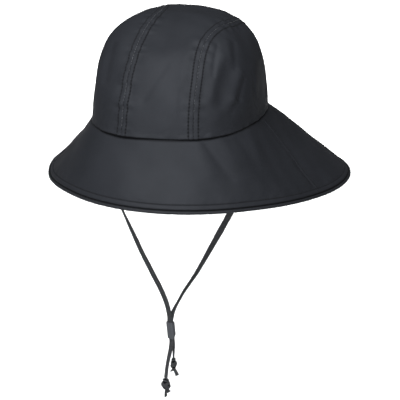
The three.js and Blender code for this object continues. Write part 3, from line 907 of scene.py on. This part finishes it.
left_strand, left_line = strand("tape_left", STRAP_LEFT_ROUTE, STRAP_LEFT_TWISTS)
right_strand, right_line = strand("tape_right", STRAP_RIGHT_ROUTE, STRAP_RIGHT_TWISTS)
finished(left_strand, "strap_tape", "strap_left")
finished(right_strand, "strap_tape", "strap_right")


def sleeve():
    """The leather sleeve: a squared ring round the two strands, its wall a flat strip with
    rounded rims, cut shorter at the back, then turned and tilted into place."""
    inner = np.array([TAPE_WIDTH / 2 + TAPE_GAP, TAPE_THICKNESS + 1.5 * TAPE_GAP])
    middle = inner + SLEEVE_WALL / 2
    ring = middle * squared_ring(SLEEVE_STEPS, SLEEVE_SQUARENESS)
    out = np.roll(ring, -1, 0) - np.roll(ring, 1, 0)
    out = unit(np.stack([out[:, 1], -out[:, 0]], axis=1))
    radius = SLEEVE_WALL / 2
    top = SLEEVE_LENGTH / 2 - radius
    side = np.linspace(-1, 1, SLEEVE_RISE_STEPS) * top
    turn = np.linspace(0, math.pi, 7)[1:-1]
    wall = np.full(SLEEVE_RISE_STEPS, radius)
    offset = np.concatenate([wall, radius * np.cos(turn), -wall, -radius * np.cos(turn)])
    rim = top + radius * np.sin(turn)
    rise = np.concatenate([side, rim, side[::-1], -rim])
    back = ease(ring[:, 1] + 0.3 * ring[:, 0], -0.001, 0.003)[:, None]
    low = np.clip(-rise / top, 0, 1)[None]
    height = rise[None] + SLEEVE_FOOT_CUT * back * low
    flat = ring[:, None] + out[:, None] * offset[None, :, None]
    points = np.concatenate([flat, height[..., None]], axis=-1).reshape(-1, 3)
    turned = np.array(Matrix.Rotation(-SLEEVE_TILT, 3, "Y") @ Matrix.Rotation(SLEEVE_TURN, 3, "Z"))
    centre = (np.array(STRAP_LEFT_ROUTE[SLEEVE_ROW_LEFT])
              + np.array(STRAP_RIGHT_ROUTE[SLEEVE_ROW_RIGHT])) / 2
    numbers = np.arange(len(points)).reshape(SLEEVE_STEPS, -1)
    faces = grid_faces(numbers, loop_rows=True, loop_columns=True)
    # Painted shade on the wall's inner face, inside the sleeve
    groove = np.tile(ease(-offset, 0, radius), (SLEEVE_STEPS, 1))
    return put_mesh("leather_sleeve", points @ turned.T + centre, faces, groove)


# Outline of a knot at even steps from its top: distance from the axis and height, as shares of
# the knot's half width and half height
KNOT_ROWS = np.array([
    (0, 1), (0.48, 0.97), (0.6, 0.8), (0.62, 0.62), (0.8, 0.4), (0.93, 0.16), (0.92, -0.1),
    (0.74, -0.34), (0.48, -0.52), (0.24, -0.64), (0, -0.68),
])

# Strips of tape over a knot, as shares of its half size: thickness, slope, middle, half width
KNOT_STRIPS = (
    (0.1, -0.26, 0.3, 0.22),
    (0.17, 0.34, -0.02, 0.25),
    (0.08, -0.2, -0.38, 0.15),
    (0.12, 0.08, 0.78, 0.11),
)


def band(place, middle, half):
    """A flat strip with soft steps at its sides: 1 within half of the middle, 0 beyond."""
    return 1 - ease(np.abs(place - middle), half - 0.05, half + 0.03)


def knot_body(half, turn):
    """A lump of wound tape: the outline rows turned round the axis, with strips of tape that lie
    over each other, tilted to opposite sides, and a collar above them."""
    share, angle = np.meshgrid(np.linspace(0, 1, KNOT_STEPS), turns(KNOT_SIDES), indexing="ij")
    away, height = np.moveaxis(smooth(KNOT_ROWS, share * (len(KNOT_ROWS) - 1)), -1, 0)
    side = np.cos(angle - turn)
    strips = np.max([
        thickness * band(height + slope * side, middle, wide)
        for thickness, slope, middle, wide in KNOT_STRIPS
    ], axis=0)
    round_away = away + strips * ease(away, 0.1, 0.5)
    points = np.stack([
        half[0] * round_away * np.cos(angle), half[1] * round_away * np.sin(angle),
        half[2] * height], axis=-1)
    numbers = np.arange(points[..., 0].size).reshape(share.shape)
    uv = np.stack([angle * half[0], (height - 0.3 * side) * half[2]], axis=-1).reshape(-1, 2)
    # Painted shade on the lump where no strip of tape lies over it, between the strips
    groove = 0.9 * (1 - ease(strips, 0.02, 0.09))
    return points, grid_faces(numbers, loop_columns=True), groove, uv


def knot(name, end, size, turn, tails):
    """A knot below the end of a strand: a lump of wound tape with two flat tails below."""
    half = np.array(size) / 2
    centre = np.array(end) - (0, 0, SEAM_GAP + half[2])
    points, faces, groove, uv = knot_body(half, turn)
    pieces = [put_mesh(name + "_body", points.reshape(-1, 3) + centre, faces, groove, uv)]
    for number, (lean, twist, reach) in enumerate(tails):
        lean, twist = np.radians((lean, twist))
        at = np.linspace(0, 1, TAIL_STEPS)[:, None]
        way = np.array([math.sin(lean), 0, -math.cos(lean)])
        bend = np.array([-TAIL_BEND * math.copysign(1, lean), TAIL_BEND / 2, 0])
        line = centre - (0, 0, half[2] * 0.5) + way * at * reach + bend * at * at
        run = unit(np.gradient(line, axis=0))
        flat = np.array([math.cos(twist), math.sin(twist), 0])
        wide = unit(flat - run * (run @ flat)[:, None])
        pieces.append(swept(f"{name}_tail_{number}", line, wide, np.cross(run, wide),
                            TAIL_WIDTH / 2 * (0.7 + 0.3 * at[:, 0]), TAPE_THICKNESS / 2,
                            TAIL_SIDES))
    return joined(name, pieces)


leather = finished(sleeve(), "slider_leather", "strap_slider")
left_knot = finished(
    knot("tied_left", STRAP_LEFT_ROUTE[-1], KNOT_LEFT_SIZE, KNOT_LEFT_TURN, KNOT_LEFT_TAILS),
    "strap_tape", "knot_left")
right_knot = finished(
    knot("tied_right", STRAP_RIGHT_ROUTE[-1], KNOT_RIGHT_SIZE, KNOT_RIGHT_TURN, KNOT_RIGHT_TAILS),
    "strap_tape", "knot_right")


# Crown pieces

def crown_panel(name, node_name, columns, share, tilt_for):
    """A crown panel: rows of arch from front to back, columns of tilt between its two sides,
    raised by the sewing."""
    arch = close_ends(CROWN_STEPS, 0.6) * math.pi
    arch, across = np.meshgrid(arch, close_ends(columns, share), indexing="ij")
    point, normal = crown_point(arch, tilt_for(arch, across))
    cloth(name, node_name, point, normal, normal, *crown_relief(point))


def centre_tilt(arch, across):
    """Tilts of the centre panel: by equal steps of distance from its right to its left seam."""
    low, high = panel_edge(arch, -1) + SEAM_SLIT, panel_edge(arch, 1) - SEAM_SLIT
    return tilt_at(arch, low + (high - low) * across)


def side_tilt(side):
    """The function that gives a side panel's tilts, from its seam to its side of the head."""
    def tilt_for(arch, across):
        """Tilt of the seam, with a share of the way to a quarter turn added."""
        start = tilt_at(arch, panel_edge(arch, side) + side * SEAM_SLIT)
        return start + (side * math.pi / 2 - start) * across

    return tilt_for


crown_panel("center_panel", "crown_center_panel", CENTRE_PANEL_STEPS, 0.75, centre_tilt)
crown_panel("side_panel_left", "crown_side_left", SIDE_PANEL_STEPS, 0.8, side_tilt(1))
crown_panel("side_panel_right", "crown_side_right", SIDE_PANEL_STEPS, 0.8, side_tilt(-1))


# Brim pieces

def brim_half(name, node_name, start, end):
    """Half of the brim: rows round the head, columns from under the crown into the binding."""
    around = start + close_ends(BRIM_AROUND_STEPS, 0.5) * (end - start)
    share = close_ends(BRIM_DOWN_STEPS, 0.75) * (1 + BINDING_REACH_IN / BRIM_DROP)
    around, share = np.meshgrid(around, share, indexing="ij")
    point, face, inward, from_seam, from_edge = brim_point(around, share)
    cloth(name, node_name, point, face, inward, *brim_relief(point, from_seam, from_edge))


SLIT_ANGLE = SEAM_SLIT / HEAD_HALF_WIDTH
brim_half("front_brim", "brim_front", math.pi + SLIT_ANGLE, 2 * math.pi - SLIT_ANGLE)
brim_half("back_brim", "brim_back", SLIT_ANGLE, math.pi - SLIT_ANGLE)


def binding():
    """The binding: a ring of round section along the brim's edge, slightly pleated."""
    around, t = turns(BINDING_STEPS), turns(BINDING_SIDES)
    point, _, way, face, length = brim_line(around)
    centre = point + way * (length - PIPING_DIAMETER / 2)[:, None] - face * (CLOTH / 2)
    size = PIPING_DIAMETER / 2 + soft_waves(centre, 51, 0.006, 0.00006)
    ring = way[:, None] * np.cos(t)[:, None] + face[:, None] * np.sin(t)[:, None]
    points = centre[:, None] + ring * size[:, None, None]
    # Painted shade along the crease where the binding meets the brim's face
    groove = np.tile(bell(t, math.radians(150), 0.45), (BINDING_STEPS, 1))
    numbers = np.arange(groove.size).reshape(groove.shape)
    faces = grid_faces(numbers, loop_rows=True, loop_columns=True)
    return put_mesh("binding", points.reshape(-1, 3), faces, groove)


finished(binding(), "edge_piping", "brim_piping")


# Stitching

def beside_seam(side, away):
    """Line on the crown at a distance beside a panel seam: the tilt is moved until the distance
    from the seam is right."""
    arch = np.linspace(STITCH_START_ARCH, math.pi - STITCH_START_ARCH, len(SEAM_ARCH))
    seam = CROWN_SEAMS[(side + 1) // 2]
    start = tilt_at(arch, panel_edge(arch, side))
    step = np.full(len(arch), away / CROWN_HEIGHT)
    for _ in range(4):
        step *= abs(away) / away_from(crown_point(arch, start + step)[0], seam)[0]
    return crown_point(arch, start + step)


def both_faces(point, normal, height):
    """A stitched line on the outer face and the same on the inner face."""
    lift = height[:, None] + THREAD_LIFT
    inner = CLOTH - BACK_SHARE * height[:, None] + THREAD_LIFT
    return [(point + normal * lift, normal), (point - normal * inner, -normal)]


def crown_stitching():
    """Two rows of top stitching beside each panel seam."""
    rows = []
    for side in (-1, 1):
        for away in (-SEAM_STITCH_AWAY, SEAM_STITCH_AWAY):
            point, normal = beside_seam(side, away)
            rows += both_faces(point, normal, crown_relief(point)[0])
    return stitches("crown_stitching", rows)


def join_stitching():
    """The row of thread that shows in the join of each panel seam, its pale colour partly
    painted highlight for glints along the join.
    """
    rows = []
    arch = SEAM_ARCH[12:-12]
    for side in (-1, 1):
        point, normal = crown_point(arch, tilt_at(arch, panel_edge(arch, side)))
        rows.append((point + normal * JOIN_THREAD_LIFT, normal))
    return stitches("join_stitching", rows)


def brim_stitching():
    """A row of stitching round the hem, and two rows beside each side seam."""
    rows = []
    around = np.linspace(0, 2 * math.pi, 1500)
    length = brim_line(around)[4] - PIPING_DIAMETER - SEAM_GAP
    lines = [(around, 1 - HEM_STITCH_AWAY / length)]
    for angle in (0, math.pi):
        for away in (-SIDE_STITCH_AWAY, SIDE_STITCH_AWAY):
            share = np.linspace(0.05, 0.93, 200)
            seam_point = brim_point(np.full(200, float(angle)), share)[0]
            radius = np.hypot(seam_point[:, 0], seam_point[:, 1])
            lines.append((angle + away / radius, share))
    for around, share in lines:
        point, face, _, from_seam, from_edge = brim_point(around, share)
        rows += both_faces(point, face, brim_relief(point, from_seam, from_edge)[0])
    return stitches("brim_stitching", rows)


# Lines of the stitched box on a strand's top, each between two corners in millimetres
BOX_LINES = (
    ((-1.9, -1), (1.9, -1)),
    ((-1.9, -8), (1.9, -8)),
    ((-1.9, -1), (1.9, -8)),
    ((-1.9, -8), (1.9, -1)),
)


def strap_stitching():
    """A small stitched box on the top of each strand, where it is sewn inside the crown: each of
    its lines goes from corner to corner on the tape's inner side."""
    rows = []
    share = np.linspace(0, 1, 20)[:, None]
    for side, route in ((1, STRAP_LEFT_ROUTE), (-1, STRAP_RIGHT_ROUTE)):
        top = np.array(route[0]) - (side * TAPE_THICKNESS * 0.55, 0, 0)
        for start, end in BOX_LINES:
            start, end = np.array([(0, *start), (0, *end)]) / 1000
            outward = np.tile([-float(side), 0, 0], (len(share), 1))
            rows.append((top + start + (end - start) * share, outward))
    return stitches("strap_stitching", rows)


for sewn, thread in (
    (crown_stitching(), "sewing_thread"), (brim_stitching(), "sewing_thread"),
    (strap_stitching(), "sewing_thread"), (join_stitching(), "join_thread_painted_glints"),
):
    sewn.data.materials.append(MATERIALS[thread])
    finished(sewn, "strap_tape")


# Floor and light

def add_floor():
    """A wide flat pale floor well below the hat."""
    corners = np.array([(-1, -1, 0), (1, -1, 0), (1, 1, 0), (-1, 1, 0)]) * float(FLOOR_HALF)
    corners[:, 2] = FLOOR_HEIGHT
    floor = put_mesh("floor", corners, np.array([(0, 1, 2, 3)]))
    new_material("pale_floor", {"Roughness": 0.9, "Base Color": (0.9, 0.9, 0.9, 1)})
    floor.data.materials.append(MATERIALS["pale_floor"])


def add_light(name, place, target, size, power, colour, spread=180):
    """A square soft light that faces a target, with its light held to a spread in degrees."""
    data = bpy.data.lights.new(name, "AREA")
    data.energy = power
    data.color = colour
    data.size = size
    data.spread = math.radians(spread)
    back = unit(np.array(place) - np.array(target))
    right = unit(np.cross((0, 0, 1), back))
    turn_to(put(name, data), right, np.cross(back, right), back, place)


add_floor()
add_light("high_front", (-0.162, -1.149, 1.857), (0, 0, 0), 1.1, 31, COOL)
add_light("low_front", (-0.304, -2.16, 0.191), (0, 0, 0), 1.1, 11, COOL)
add_light("side_front", (1.033, -1.322, 1.408), (0, 0, 0), 1.1, 12, COOL)
add_light("far_floor", (-1.1, 3, 2.6), (-1.1, 3.01, 0), 2.2, 60, WHITE, 60)
add_light("near_floor", (-0.3, 1.1, 0.9), (-0.3, 1.11, 0), 0.9, 4.4, WHITE, 50)

world = bpy.data.worlds.new("studio")
world.use_nodes = True
background = world.node_tree.nodes["Background"].inputs
background["Color"].default_value = (1, 1, 1, 1)
background["Strength"].default_value = 0.07
bpy.context.scene.world = world
bpy.context.scene.view_settings.view_transform = "Standard"
